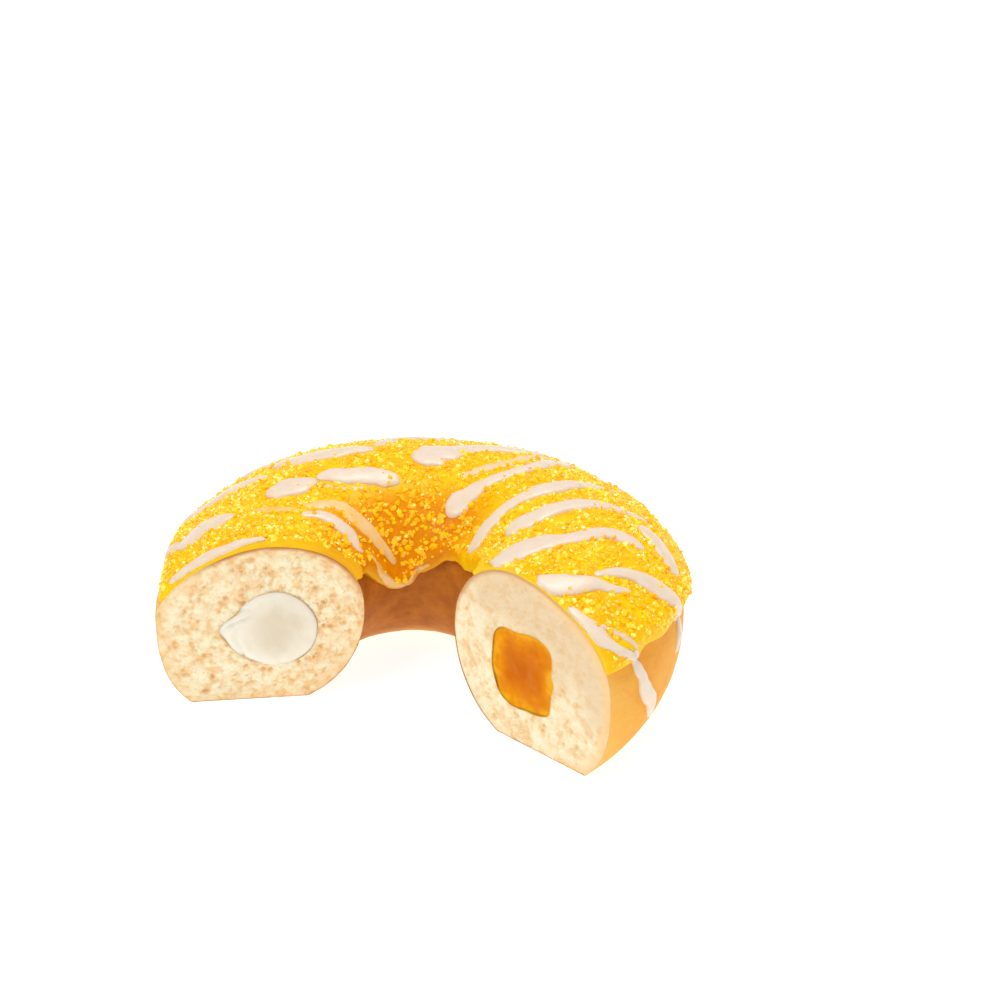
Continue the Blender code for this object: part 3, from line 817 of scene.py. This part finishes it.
def glazeLift(bearing, roll):
    fromHole = glazeInnerEdge(bearing) - roll
    inside = np.minimum(roll - glazeOuterEdge(bearing), fromHole)
    beadHeight, beadPlace, beadWidth = glaze["bead"]
    bead = beadHeight * bellAt(inside, beadPlace, beadWidth)
    middle, width, swelling = glaze["drop"]
    drop = swelling * bellAt(bearing, middle, width) * bellAt(fromHole, *glaze["dropFromHole"])
    full = np.sqrt(np.clip(inside / glaze["rimWidth"], 0.0, 1.0))
    lift = glaze["ground"] + glaze["rim"] + (glaze["thickness"] + bead + drop - glaze["rim"]) * full
    share, ending, low, high = glaze["thinRight"]
    thinRight = share * (1.0 - smoothStep(ring["rightCut"], ending, bearing)) * smoothStep(low, high, roll)
    share, starting, low, high = glaze["thinLeft"]
    thinLeft = share * smoothStep(starting, ring["leftCut"], bearing) * (1.0 - smoothStep(low, high, roll))
    return lift * (1.0 - thinRight - thinLeft)


def makeGlazeMaterial():
    finish = Finish("mangoIcing", glaze["looks"])
    tone = finish.ramp(finish.clouds(0.0045, 5.0, 0.6), glaze["tones"])
    blots = finish.span(finish.cells(0.0013), 0.15, 0.55, 0.5, 0.0)
    tone = finish.blend(blots, tone, glaze["blotTone"])
    tone = finish.blend(finish.sum("MULTIPLY", finish.value("hollow"), 0.86), tone, glaze["hollowTone"])
    tone = finish.blend(finish.sum("MULTIPLY", finish.value("atEdge"), 0.4), tone, glaze["edgeTone"])
    relief = finish.bump(finish.clouds(0.0009, 4.0, 0.6), 0.00025, 0.6)
    return finish.finish(tone, relief)


def makeGlaze():
    slab = wrappedSlab("icingGlaze", glaze["alongSteps"], glaze["acrossSteps"])
    along, across, through = readPoints(slab).T
    total = ring["leftCut"] - ring["rightCut"]
    bearing = ring["rightCut"] + spreadRows(along, glaze["alongSteps"], total, glaze["firstRows"])
    low, high = glazeOuterEdge(bearing), glazeInnerEdge(bearing)
    roll = low + (high - low) * (across - glaze["crowding"] * np.sin(2.0 * np.pi * across))
    inside = np.minimum(roll - low, high - roll)
    fromCut = fromCuts(bearing, glaze["arcRadius"])
    rounding = np.sqrt(1.0 - (1.0 - np.clip(fromCut / glaze["cutRounding"], 0.0, 1.0)) ** 2)
    lift = glazeLift(bearing, roll)
    lumpSize, lumpHeight = glaze["lumps"]
    lumps = noiseAt(onSkin(bearing, roll, lift), lumpSize, 3, 51) * lumpHeight * smoothStep(1.0, 6.0, inside)
    top = (lift + lumps) * (0.62 + 0.38 * rounding)
    writePoints(slab, onSkin(bearing, roll, (top + glaze["sunk"]) * through - glaze["sunk"]))
    turnOutwards(slab)
    lowRoll, highRoll, lowBearing, highBearing = glaze["hollow"]
    hollow = smoothStep(lowRoll, highRoll, roll) * smoothStep(lowBearing, highBearing, bearing)
    writeValue(slab, "hollow", hollow)
    byCut = 1.0 - smoothStep(0.0, glaze["edgeWidth"], fromCut)
    writeValue(slab, "atEdge", np.maximum(byCut, 1.0 - smoothStep(1.0, 5.0, inside)))
    finishPiece(slab, makeGlazeMaterial(), "icing")


# White drizzle, poured one way across the ring, and one pale strand round the big drip that is a painted
# highlight on the glaze's rim. Each strand has its paleness, 0 soaked in and 1 or more white, and its stops
# of bearing, roll and width in millimetres
drizzle = {
    "stepLength": 0.0006,
    "widthSteps": 12,
    "rise": 0.0006,
    "fullWidth": 0.003,  # a strand as wide as this has its full rise
    "widen": 1.18,
    "sway": (0.0022, 0.3),  # length and strength
    "sunk": 0.00035,
    "edgeSunk": 0.00008,
    "leastTip": 0.08,  # share of its width that a strand keeps at its very end
    "onDough": 0.00012,
    "pastCut": 0.15,  # degrees
    "looks": {
        "Roughness": 0.38,
        "Specular IOR Level": 0.45,
        "Coat Weight": 0.15,
        "Coat Roughness": 0.25,
        "Subsurface Weight": 0.25,
        "Subsurface Radius": (1.0, 0.7, 0.45),
        "Subsurface Scale": 0.001,
    },
    "tones": (
        (0.05, (252, 190, 84)),
        (0.4, (246, 208, 148)),
        (0.75, (236, 210, 182)),
        (1.0, (240, 219, 198)),
    ),
    "strands": (
        (1.0, ((153, 46, 1.6), (150, 55, 3.8), (146, 62, 4.2), (139, 70, 4.1), (132, 75, 3.4),
               (124, 80, 1.8))),
        (1.0, ((154, 92, 1.2), (147, 98, 3.3), (137, 106, 3.9), (127, 112, 3.7), (118, 119, 1.6))),
        (0.3, ((156, 100, 1.0), (148, 112, 1.3), (137, 118, 1.0))),
        (1.0, ((169, 72, 2.8), (168, 80, 5.2), (162, 89, 4.6), (154, 94, 1.5))),
        (1.0, ((193, 27, 1.6), (191, 33, 3.3), (187, 40, 4.4), (186, 49, 4.4), (184, 62, 2.0))),
        (0.25, ((184, 68, 1.2), (182, 90, 1.7), (178, 109, 1.0))),
        (0.9, ((183, 108, 1.3), (177, 119, 2.2), (175, 130, 2.5), (177, 141, 2.4), (184, 152, 1.4))),
        (0.34, ((175, 106, 1.0), (168, 114, 2.2), (161, 123, 2.7), (158, 133, 2.8), (155, 143, 2.4),
                (149, 153, 2.0), (141, 161, 1.4), (134, 168, 0.9))),
        # painted highlight: this pale strand is no drizzle; it stands for the lit rim of the glaze round the
        # big drip
        (0.22, ((169, 153, 0.7), (169, 161, 1.0), (164, 168, 1.1), (152, 175, 1.3), (137, 179.5, 1.4),
                (123, 180.5, 1.3), (115, 178.5, 1.1), (108, 173, 1.0), (98, 169.5, 1.0),
                (88, 168, 0.7))),
        (1.2, ((204.6, 21, 1.4), (204.7, 30, 2.4), (204.5, 42, 3.0), (204.6, 56, 2.7),
               (204.8, 72, 2.2), (204.9, 90, 1.0))),
        (0.8, ((192, 16, 1.4), (191, 22, 2.8), (190, 29, 2.4))),
        (0.9, ((123, 74, 1.6), (118, 62, 2.6), (112, 48, 3.0), (104, 46, 2.7), (94, 42, 2.0),
               (88, 28, 1.4))),
        (1.0, ((109, 101, 2.8), (105, 94, 6.0), (100, 85, 6.0), (93, 75, 4.2), (84, 62, 3.1),
               (76, 50, 2.6), (69, 36, 1.8))),
        (1.0, ((80, 140, 2.2), (78, 130, 4.0), (74, 119, 3.2), (69, 105, 2.3), (64, 83, 2.5),
               (64, 60, 2.8), (62, 40, 1.8))),
        (0.6, ((86, 110, 0.9), (79, 97, 1.8), (72, 80, 2.4), (71, 60, 2.4), (70, 46, 1.4))),
        (1.0, ((26, 150, 2.0), (36, 140, 3.0), (40, 128, 2.8), (43, 115, 2.3), (44, 102, 3.2),
               (45, 82, 3.2), (46, 63, 2.2), (45, 44, 1.4))),
        (1.0, ((12, 123, 2.0), (20, 114, 3.8), (25, 100, 3.4), (30, 82, 3.1), (32, 65, 2.6),
               (31, 50, 2.0), (32, 34, 1.2))),
        (1.0, ((-25.2, 113, 3.4), (-14, 108, 5.2), (-4, 98, 4.8), (3, 84, 3.2), (12, 68, 3.0),
               (14, 55, 3.2), (13, 42, 1.4))),
        (1.0, ((-25.2, 77, 3.6), (-19, 63, 4.4), (-13, 56, 2.8), (-10, 47, 1.6), (-6, 39, 0.9))),
        (1.0, ((-10, 59, 1.0), (-4, 51, 1.9), (0, 40, 3.1), (2, 28, 4.0), (4, 16, 2.2), (5, 9, 1.2))),
        (1.0, ((-24.4, 53, 1.2), (-24.0, 42, 2.4), (-23.6, 33, 3.0), (-22, 24, 1.9), (-19, 18, 1.3),
               (-16, 13, 1.0))),
        (0.7, ((-21, 36, 0.8), (-18, 26, 1.2), (-16, 18, 0.8))),
        (1.1, ((-17, 19, 1.0), (-16, 11, 1.5), (-15, 4, 2.0), (-13, -6, 2.5), (-10, -16, 2.7),
               (-8, -28, 1.4))),
        (1.0, ((6.5, 11, 0.9), (6, 5, 1.7), (5, -1, 1.9), (3.5, -7, 1.0))),
        (0.9, ((26, 45, 1.6), (22, 36, 3.6), (17, 29, 3.4), (12, 23, 1.6))),
        (0.9, ((122, 66, 1.4), (111, 51, 2.4), (102, 34, 2.6), (94, 18, 1.6))),
        (1.0, ((157, 17, 1.8), (149, 26, 3.2), (138, 33, 3.4), (124, 34, 3.2), (108, 24, 1.8))),
        (1.0, ((177, 11, 1.6), (172, 24, 2.8), (166, 38, 3.0), (159, 58, 1.6))),
        (0.8, ((86, 38, 1.2), (81, 27, 2.6), (76, 13, 1.6))),
        (0.8, ((56, 40, 1.2), (54, 28, 2.4), (50, 12, 1.6))),
        (0.8, ((136, 22, 1.0), (130, 14, 2.2), (126, 6, 1.2))),
    ),
}


def throughStops(stops, share):
    stops = np.array(stops, float)
    padded = np.vstack([2 * stops[0] - stops[1], stops, 2 * stops[-1] - stops[-2]])
    place = np.clip(share, 0.0, 1.0) * (len(stops) - 1)
    first = np.minimum(place.astype(int), len(stops) - 2)
    step = (place - first)[:, None]
    before, here, there, after = (padded[first + offset] for offset in range(4))
    bend = 2 * before - 5 * here + 4 * there - after
    twist = 3 * here - before - 3 * there + after
    return 0.5 * (2 * here + (there - before) * step + bend * step**2 + twist * step**3)


def swayAt(along, across, number):
    # both sides of a strand wander, each in its own way
    shift = np.where(across > 0.5, 4.7, 0.0) + number * 9.1
    return np.array([noise.noise(Vector((place, side, 0.3))) for place, side in zip(along, shift)])


def makeStrand(number, paleness, stops):
    way = throughStops(stops, np.linspace(0.0, 1.0, 60))
    length = np.linalg.norm(np.diff(onSkin(way[:, 0], way[:, 1], 0.0), axis=0), axis=1).sum()
    steps = int(length / drizzle["stepLength"]) + 6
    slab = wrappedSlab(f"strand{number}", steps, drizzle["widthSteps"])
    along, across, through = readPoints(slab).T
    along = along - 0.5 / steps * np.sin(2.0 * np.pi * along)
    bearing, roll, width = throughStops(stops, along).T
    before, after = throughStops(stops, along - 0.02).T, throughStops(stops, along + 0.02).T
    heading = onSkin(after[0], after[1], 0.0) - onSkin(before[0], before[1], 0.0)
    side = np.cross(skinNormal(bearing, roll), heading)
    side /= np.linalg.norm(side, axis=-1, keepdims=True)
    width = width * drizzle["widen"] * mm
    startsAtCut = 1.0 if stops[0][0] < ring["rightCut"] + 0.4 else 0.0  # such an end stays flat
    fromTip = np.minimum(along * length + startsAtCut, (1.0 - along) * length)
    tip = np.sqrt(1.0 - (1.0 - np.clip(fromTip / (0.5 * width + 0.0003), 0.0, 1.0)) ** 2)
    tip = np.maximum(tip, drizzle["leastTip"])
    swayLength, swayStrength = drizzle["sway"]
    sway = swayStrength * swayAt(along * length / swayLength, across, number)
    offset = (across - 0.5) * width * tip * (1.0 + sway)
    middle = onSkin(bearing, roll, glaze["thickness"])
    bearing, roll = placeOnRing(middle + side * offset[:, None])
    pastCut = drizzle["pastCut"]
    bearing = np.clip(bearing, ring["rightCut"] - pastCut, ring["leftCut"] + pastCut)
    onIcing = smoothStep(-1.5, 0.5, roll - glazeOuterEdge(bearing))
    ground = drizzle["onDough"] + (glazeLift(bearing, roll) - drizzle["onDough"]) * onIcing
    dome = np.sqrt(np.clip(1.0 - np.abs(2.0 * across - 1.0) ** 2.6, 0.0, 1.0))
    fullness = np.clip(width / drizzle["fullWidth"], 0.45, 1.1) * (0.55 + 0.45 * min(paleness, 1.0))
    bottom = ground - drizzle["sunk"]
    top = ground - drizzle["edgeSunk"] + drizzle["rise"] * dome * tip * fullness
    writePoints(slab, onSkin(bearing, roll, bottom + (top - bottom) * through))
    thin = (1.0 - dome * tip) * 0.8
    writeValue(slab, "paleness", np.clip(paleness * (1.0 - 0.75 * thin**2), 0.0, 1.0))
    return slab


def makeDrizzle():
    strands = []
    for number, (paleness, stops) in enumerate(drizzle["strands"]):
        strands.append(makeStrand(number, paleness, stops))
    selectOnly(*strands)
    bpy.ops.object.join()
    piece = strands[0]
    piece.name = piece.data.name = "drizzleAndRimHighlight"
    turnOutwards(piece)
    finish = Finish("drizzleAndRimHighlight", drizzle["looks"])
    uneven = finish.span(finish.clouds(0.0022), 0.3, 0.7, -0.18, 0.1)
    tone = finish.ramp(finish.sum("ADD", finish.value("paleness"), uneven), drizzle["tones"])
    relief = finish.bump(finish.clouds(0.0008, 3.0), 0.00012, 0.4)
    finishPiece(piece, finish.finish(tone, relief), None)


# Sugar: coarse yellow crystals pressed into the icing, few of them on the drizzle
sugar = {
    "count": 7200,
    "small": 0.00026,
    "large": 0.00068,
    "flattening": (1.0, 0.82, 0.72),
    "unevenness": 0.22,
    "sink": 0.12,  # share of a crystal's size
    "onDrizzle": 0.0003,
    "seed": 7,
    "fromCut": 0.2,  # degrees of bearing
    "fromOuterEdge": 2.5,  # degrees of roll
    "fromInnerEdge": 7.0,
    "widest": 0.046,  # from the ring's axis, and fewer the nearer to it
    "tubeReach": 0.018,
    "patchSize": 0.006,
    "patchiness": (-0.75, 0.1),
    "sparse": (115.0, 40.0, 185.0),  # above this roll and between these bearings
    "sparseSkipped": 0.25,
    "drizzleKept": 0.04,
    "hollow": ((100.0, 125.0), (30.0, 60.0), (185.0, 200.0)),  # roll, bearings in and out
    "hollowLarger": 0.1,
    "hollowDarker": 0.45,
    "looks": {
        "Roughness": 0.18,
        "Specular IOR Level": 0.4,
        "Coat Weight": 0.35,
        "Coat Roughness": 0.08,
    },
    "glow": ((255, 186, 0), 0.14),  # colour and strength; painted light: the crystals glow with no lamp in them, lifting their shaded sides
    "tones": (
        (0.0, (255, 180, 0)),
        (0.3, (255, 196, 0)),
        (0.6, (255, 210, 6)),
        (0.84, (255, 228, 34)),
        (0.96, (255, 248, 140)),
    ),
}


def drizzleLines():
    # points along the strands, and how far the white reaches from each
    lines, halves = [], []
    for paleness, stops in drizzle["strands"]:
        bearing, roll, width = throughStops(stops, np.linspace(0.0, 1.0, 50)).T
        lines.append(onSkin(bearing, roll, glaze["thickness"]))
        halves.append(width * drizzle["widen"] * mm / 2 * min(paleness + 0.2, 1.0))
    return np.vstack(lines), np.concatenate(halves)


def sugarPlaces():
    draw = random.Random(sugar["seed"])
    lines, halves = drizzleLines()
    right, left = ring["rightCut"] + sugar["fromCut"], ring["leftCut"] - sugar["fromCut"]
    chosen = []
    while len(chosen) < sugar["count"]:
        bearing = draw.uniform(right, left)
        low = float(glazeOuterEdge(bearing)) + sugar["fromOuterEdge"]
        high = float(glazeInnerEdge(bearing)) - sugar["fromInnerEdge"]
        roll = draw.uniform(low, high)
        radius = ring["heartRadius"] + sugar["tubeReach"] * math.cos(math.radians(roll))
        if draw.random() * sugar["widest"] > radius:
            continue  # there is less room nearer the hole
        point = onSkin(bearing, roll, glaze["thickness"])
        patch = noise.noise(Vector(point) / sugar["patchSize"] + Vector((3.1, 8.2, 5.5)))
        if patch < draw.uniform(*sugar["patchiness"]):
            continue
        lowRoll, lowBearing, highBearing = sugar["sparse"]
        sparse = roll > lowRoll and lowBearing < bearing < highBearing
        if sparse and draw.random() < sugar["sparseSkipped"]:
            continue
        room = (np.linalg.norm(lines - point, axis=1) - halves).min()
        if room < -0.0001 and draw.random() > sugar["drizzleKept"]:
            continue
        chosen.append((bearing, roll, sugar["onDrizzle"] if room < 0.0 else 0.0))
    return np.array(chosen)


def makeCrystal():
    bpy.ops.object.select_all(action="DESELECT")
    bpy.ops.mesh.primitive_ico_sphere_add(subdivisions=1, radius=1.0, location=(0.0, 0.0, 0.0))
    crystal = bpy.context.object
    startEditing()
    bpy.ops.transform.resize(value=sugar["flattening"])
    stopEditing()
    corners = readPoints(crystal)
    triangles = np.array([face.vertices[:] for face in crystal.data.polygons])
    bpy.data.objects.remove(crystal)
    return corners, triangles


def makeSugar():
    corners, triangles = makeCrystal()
    bearing, roll, extra = sugarPlaces().T
    count = len(bearing)
    draw = np.random.default_rng(sugar["seed"])
    deeper, onward, ending = sugar["hollow"]
    inHollow = smoothStep(*deeper, roll) * smoothStep(*onward, bearing)
    inHollow *= 1.0 - smoothStep(*ending, bearing)
    size = sugar["small"] + (sugar["large"] - sugar["small"]) * draw.random(count) ** 1.6
    size = size * (1.0 + sugar["hollowLarger"] * inHollow)
    axes = np.linalg.qr(draw.normal(size=(count, 3, 3)))[0]
    uneven = 1.0 + sugar["unevenness"] * draw.standard_normal((count, len(corners), 1))
    shapes = np.einsum("nij,nkj->nki", axes, corners[None] * np.clip(uneven, 0.6, 1.4))
    middles = onSkin(bearing, roll, glazeLift(bearing, roll) + extra - sugar["sink"] * size)
    points = (shapes * size[:, None, None] + middles[:, None]).reshape(-1, 3)
    faces = (triangles[None] + (np.arange(count) * len(corners))[:, None, None]).reshape(-1, 3)
    mesh = bpy.data.meshes.new("sugarCrystals")
    mesh.from_pydata(points.tolist(), [], faces.tolist())
    piece = bpy.data.objects.new("sugarCrystals", mesh)
    bpy.context.scene.collection.objects.link(piece)
    tone = draw.random(count) * (1.0 - sugar["hollowDarker"] * inHollow)
    writeValue(piece, "grainTone", np.repeat(tone, len(corners)))
    turnOutwards(piece, smooth=False)
    finish = Finish("sugarCrystals", sugar["looks"])
    # painted light: an orange glow on the crystals
    finish.glow(*sugar["glow"])
    colour = finish.ramp(finish.value("grainTone"), sugar["tones"])
    finishPiece(piece, finish.finish(colour), None)


makeDough()
makeCream()
makeMango()
makeGlaze()
makeDrizzle()
makeSugar()


# Studio: a plain pale floor, soft light from above and the front, the photo's view
studio = {
    "cameraAt": (0.20946, -0.58275, 0.37287),
    "lookAt": (-0.008804, 0.054613, 0.0),
    "lens": 151.2,
    "sensorWidth": 36.0,
    "floor": 6.0,
    "floorLooks": {"Roughness": 0.9, "Specular IOR Level": 0.1},
    "floorTones": ((0.3, (180.6, 180.6, 180.6)), (0.7, (187.5, 187.5, 187.5))),
    "floorGlow": ((255, 255, 255), 0.84),  # colour and strength
    "world": 0.5,
    "lampTarget": (0.0, 0.0, 0.01),
    "lamps": (  # name, place, size, watts
        ("keyLamp", (-0.3, -0.5, 0.9), 0.35, 2.9),
        ("fillLamp", (0.7, -0.5, 0.45), 0.5, 0.6),
        ("topLamp", (0.05, 0.35, 0.95), 0.35, 4.2),
    ),
}


def aimAt(piece, target):
    piece.rotation_euler = (Vector(target) - piece.location).to_track_quat("-Z", "Y").to_euler()


def makeFloor():
    bpy.ops.object.select_all(action="DESELECT")
    bpy.ops.mesh.primitive_plane_add(size=studio["floor"], location=(0.0, 0.0, 0.0))
    floor = bpy.context.object
    floor.name = "floor"
    finish = Finish("paleFloor", studio["floorLooks"])
    finish.glow(*studio["floorGlow"])
    tone = finish.ramp(finish.clouds(0.4, 2.0), studio["floorTones"])
    floor.data.materials.append(finish.finish(tone))


def makeStudio():
    makeFloor()
    world = bpy.data.worlds.new("studioWorld")
    world.use_nodes = True
    background = world.node_tree.nodes["Background"]
    background.inputs["Color"].default_value = (1.0, 1.0, 1.0, 1.0)
    background.inputs["Strength"].default_value = studio["world"]
    bpy.context.scene.world = world
    for name, place, size, watts in studio["lamps"]:
        lamp = bpy.data.lights.new(name, "AREA")
        lamp.size, lamp.energy = size, watts
        holder = bpy.data.objects.new(name, lamp)
        bpy.context.scene.collection.objects.link(holder)
        holder.location = place
        aimAt(holder, studio["lampTarget"])
    camera = bpy.data.objects.new("photoCamera", bpy.data.cameras.new("photoCamera"))
    bpy.context.scene.collection.objects.link(camera)
    camera.data.lens, camera.data.sensor_width = studio["lens"], studio["sensorWidth"]
    camera.location = studio["cameraAt"]
    aimAt(camera, studio["lookAt"])
    bpy.context.scene.camera = camera
    bpy.context.scene.view_settings.view_transform = "Standard"
    print("studio ready")


makeStudio()
